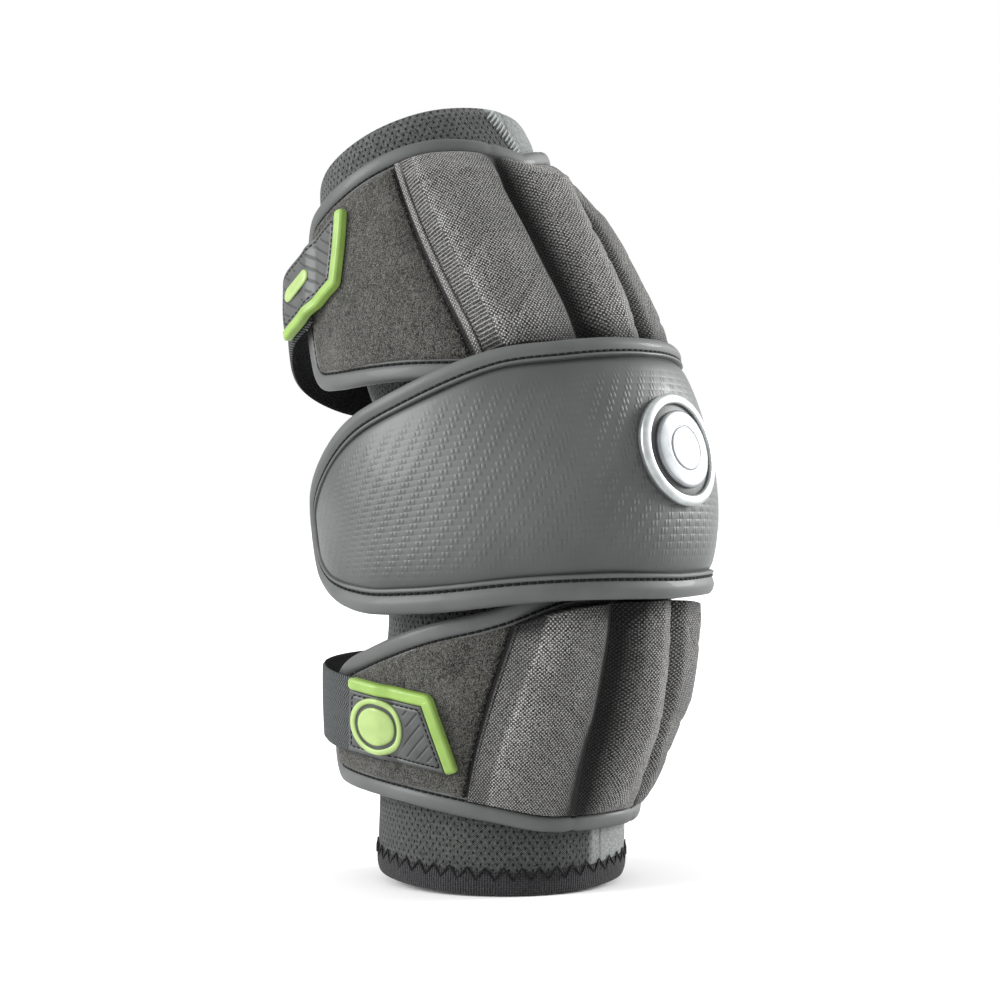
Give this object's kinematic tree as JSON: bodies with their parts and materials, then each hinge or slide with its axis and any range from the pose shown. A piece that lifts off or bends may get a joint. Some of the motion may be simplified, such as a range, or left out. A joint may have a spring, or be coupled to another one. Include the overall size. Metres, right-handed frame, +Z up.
{
  "type": "padded arm guard",
  "caption": "Padded sports arm guard on a knitted sleeve, with ribbed guards, a domed elbow cap and closing straps, shaped as worn on a bent arm.",
  "frame": {"origin": "middle of the arm inside the sleeve, at the elbow", "axes": "+Z up along the arm towards the shoulder, +X out of the elbow's point, -Y towards the side where the straps close"},
  "size_m": [0.1884, 0.153, 0.3063],
  "materials": {
    "mesh_knit": "soft open knit with small holes",
    "hem_knit": "dense elastic knit",
    "panel_cloth": "plain backing cloth over foam",
    "binding_leather": "smooth synthetic leather, satin",
    "rib_cloth": "coarse heathered weave over foam",
    "loop_cloth": "brushed loop cloth, matt",
    "cap_leather": "embossed synthetic leather, satin",
    "webbing": "woven webbing, black inside",
    "tab_rubber": "moulded rubber, satin",
    "lime_rubber": "moulded lime rubber, satin",
    "silver_plastic": "metal-look plastic, glossy"
  },
  "bodies": {
    "root": {"sleeve": "mesh_knit", "hem": "hem_knit", "cap_shell": "cap_leather", "cap_binding": "binding_leather", "badge_plate": "tab_rubber", "badge_rim": "silver_plastic", "badge_disc": "silver_plastic", "upper_panel": "panel_cloth", "upper_binding": "binding_leather", "upper_rib_1": "rib_cloth", "upper_rib_2": "rib_cloth", "upper_rib_3": "rib_cloth", "upper_loop_patch": "loop_cloth", "upper_strap": "webbing", "upper_tab": "tab_rubber", "upper_tab_rail": "lime_rubber", "lower_panel": "panel_cloth", "lower_binding": "binding_leather", "lower_rib_1": "rib_cloth", "lower_rib_2": "rib_cloth", "lower_rib_3": "rib_cloth", "lower_loop_patch": "loop_cloth", "lower_strap": "webbing", "lower_tab": "tab_rubber", "lower_tab_rail": "lime_rubber", "upper_tab_mark": "lime_rubber", "lower_tab_emblem": "lime_rubber"}
  },
  "joints": []
}
